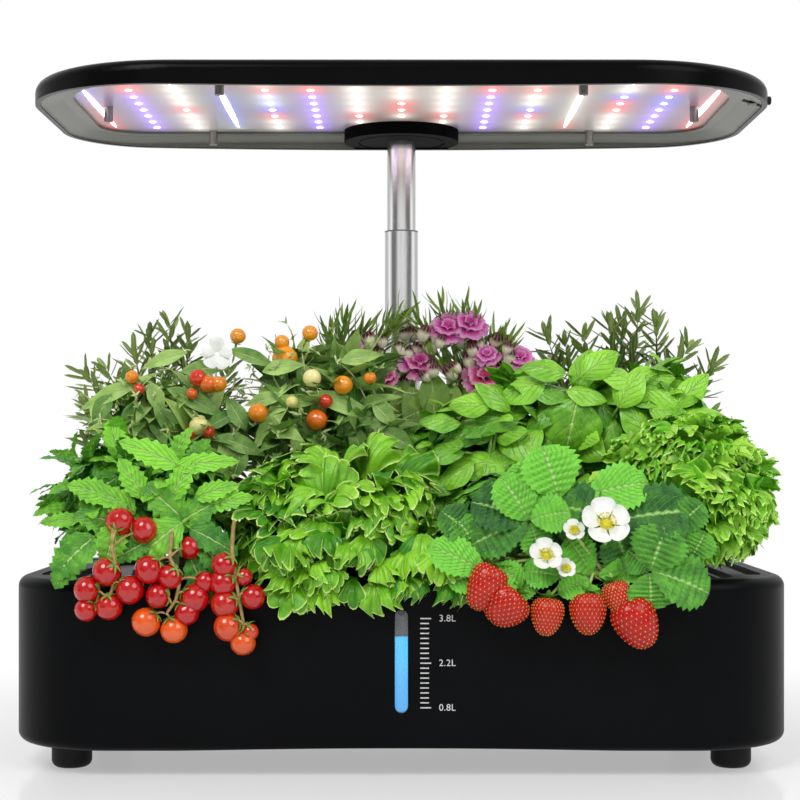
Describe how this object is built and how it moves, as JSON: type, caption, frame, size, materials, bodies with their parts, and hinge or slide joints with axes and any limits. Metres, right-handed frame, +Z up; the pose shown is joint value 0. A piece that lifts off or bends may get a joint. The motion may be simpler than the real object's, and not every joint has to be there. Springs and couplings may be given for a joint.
{
  "type": "countertop hydroponic garden",
  "caption": "Tabletop water garden: black tank with a level gauge and pump, a lift-out deck of potted greens, and a grow lamp on a telescopic mast.",
  "frame": {"origin": "on the table, under the middle of the garden's outline", "axes": "+Z up, -Y towards the user at the level gauge, +X to the user's right"},
  "size_m": [0.4, 0.255, 0.3584],
  "materials": {
    "tank_plastic": "satin moulded",
    "cover_plastic": "fine matt moulded",
    "deck_plastic": "matt moulded",
    "foot_rubber": "matt",
    "seal_rubber": "matt",
    "window_clear": "clear polished",
    "gauge_grey": "satin",
    "gauge_water": "wet, tinted",
    "pump_plastic": "satin",
    "rotor_white": "smooth",
    "shaft_ceramic": "ground",
    "riser_soft": "translucent",
    "jack_plastic": "satin",
    "socket_plastic": "satin moulded",
    "mast_steel": "satin",
    "bush_dark": "satin",
    "bush_grey": "satin",
    "lamp_black": "satin to gloss",
    "tray_grey": "smooth",
    "board_aluminium": "white coated, satin",
    "led_lens": "clear lens",
    "fruit_tomato": "ripe, waxy skin",
    "screw_grey": "dark plated",
    "circuit_green": "solder mask",
    "switch_dark": "satin",
    "basket_black": "matt moulded",
    "leaf_tomato": "living foliage",
    "leaf_lettuce": "living foliage",
    "leaf_strawberry": "living foliage",
    "leaf_frisee": "living foliage",
    "leaf_pepper": "living foliage",
    "leaf_basil": "living foliage",
    "leaf_rosemary": "living foliage",
    "leaf_dianthus": "living foliage and flowers"
  },
  "bodies": {
    "root": {"water_tank": "tank_plastic", "top_cover": "cover_plastic", "gauge_window": "window_clear", "gauge_seal": "seal_rubber", "gauge_channel": "gauge_grey", "level_column": "gauge_water", "foot_front_left": "foot_rubber", "foot_front_right": "foot_rubber", "foot_rear_left": "foot_rubber", "foot_rear_right": "foot_rubber", "pump_body": "pump_plastic", "pump_cover": "pump_plastic", "pump_shaft": "shaft_ceramic", "riser_tube": "riser_soft", "power_jack": "jack_plastic", "mast_socket": "socket_plastic", "mast_outer": "mast_steel", "mast_collar": "bush_dark"},
    "impeller": {"pump_impeller": "rotor_white"},
    "deck": {"planting_deck": "deck_plastic"},
    "mast_stage": {"mast_middle": "mast_steel", "mast_bush": "bush_grey"},
    "lamp": {"mast_inner": "mast_steel", "mast_mount": "lamp_black", "lamp_shell": "lamp_black", "lamp_tray": "tray_grey", "led_board": "board_aluminium", "led_chips": "led_lens", "lamp_screws": "screw_grey", "control_board": "circuit_green", "power_switch": "switch_dark"},
    "button": {"power_button": "switch_dark"},
    "pod_front_1": {"basket_front_1": "basket_black", "tomato": "leaf_tomato", "tomato_truss_left": "fruit_tomato", "tomato_truss_middle": "fruit_tomato", "tomato_truss_right": "fruit_tomato"},
    "pod_front_2": {"basket_front_2": "basket_black", "lettuce": "leaf_lettuce"},
    "pod_front_3": {"basket_front_3": "basket_black", "strawberry": "leaf_strawberry"},
    "pod_front_4": {"basket_front_4": "basket_black", "frisee": "leaf_frisee"},
    "pod_middle_1": {"basket_middle_1": "basket_black", "pepper_left": "leaf_pepper"},
    "pod_middle_2": {"basket_middle_2": "basket_black", "pepper_right": "leaf_pepper"},
    "pod_middle_3": {"basket_middle_3": "basket_black", "basil_left": "leaf_basil"},
    "pod_middle_4": {"basket_middle_4": "basket_black", "basil_right": "leaf_basil"},
    "pod_back_1": {"basket_back_1": "basket_black", "rosemary_left": "leaf_rosemary"},
    "pod_back_2": {"basket_back_2": "basket_black", "dianthus_left": "leaf_dianthus"},
    "pod_back_3": {"basket_back_3": "basket_black", "dianthus_right": "leaf_dianthus"},
    "pod_back_4": {"basket_back_4": "basket_black", "rosemary_right": "leaf_rosemary"}
  },
  "joints": [
    {"name": "mast_slide", "type": "slide", "parent": "root", "child": "mast_stage", "axis": [0, 0, 1], "range_m": [-0.045, 0.055]},
    {"name": "lamp_slide", "type": "slide", "parent": "mast_stage", "child": "lamp", "axis": [0, 0, 1], "range_m": [-0.035, 0.11]},
    {"name": "button_press", "type": "slide", "parent": "lamp", "child": "button", "axis": [-1, 0, 0], "range_m": [0, 0.001], "stiffness_N_per_m": 400, "springref_m": -0.001},
    {"name": "impeller_spin", "type": "hinge", "parent": "root", "child": "impeller", "pos_m": [-0.084, 0.055, 0.031], "axis": [0, 1, 0], "continuous": true},
    {"name": "deck_lift", "type": "slide", "parent": "root", "child": "deck", "axis": [0, 0, 1], "range_m": [0, 0.06]},
    {"name": "lift_front_1", "type": "slide", "parent": "deck", "child": "pod_front_1", "axis": [0, 0, 1], "range_m": [0, 0.06]},
    {"name": "lift_front_2", "type": "slide", "parent": "deck", "child": "pod_front_2", "axis": [0, 0, 1], "range_m": [0, 0.06]},
    {"name": "lift_front_3", "type": "slide", "parent": "deck", "child": "pod_front_3", "axis": [0, 0, 1], "range_m": [0, 0.06]},
    {"name": "lift_front_4", "type": "slide", "parent": "deck", "child": "pod_front_4", "axis": [0, 0, 1], "range_m": [0, 0.06]},
    {"name": "lift_middle_1", "type": "slide", "parent": "deck", "child": "pod_middle_1", "axis": [0, 0, 1], "range_m": [0, 0.06]},
    {"name": "lift_middle_2", "type": "slide", "parent": "deck", "child": "pod_middle_2", "axis": [0, 0, 1], "range_m": [0, 0.06]},
    {"name": "lift_middle_3", "type": "slide", "parent": "deck", "child": "pod_middle_3", "axis": [0, 0, 1], "range_m": [0, 0.06]},
    {"name": "lift_middle_4", "type": "slide", "parent": "deck", "child": "pod_middle_4", "axis": [0, 0, 1], "range_m": [0, 0.06]},
    {"name": "lift_back_1", "type": "slide", "parent": "deck", "child": "pod_back_1", "axis": [0, 0, 1], "range_m": [0, 0.06]},
    {"name": "lift_back_2", "type": "slide", "parent": "deck", "child": "pod_back_2", "axis": [0, 0, 1], "range_m": [0, 0.06]},
    {"name": "lift_back_3", "type": "slide", "parent": "deck", "child": "pod_back_3", "axis": [0, 0, 1], "range_m": [0, 0.06]},
    {"name": "lift_back_4", "type": "slide", "parent": "deck", "child": "pod_back_4", "axis": [0, 0, 1], "range_m": [0, 0.06]}
  ]
}
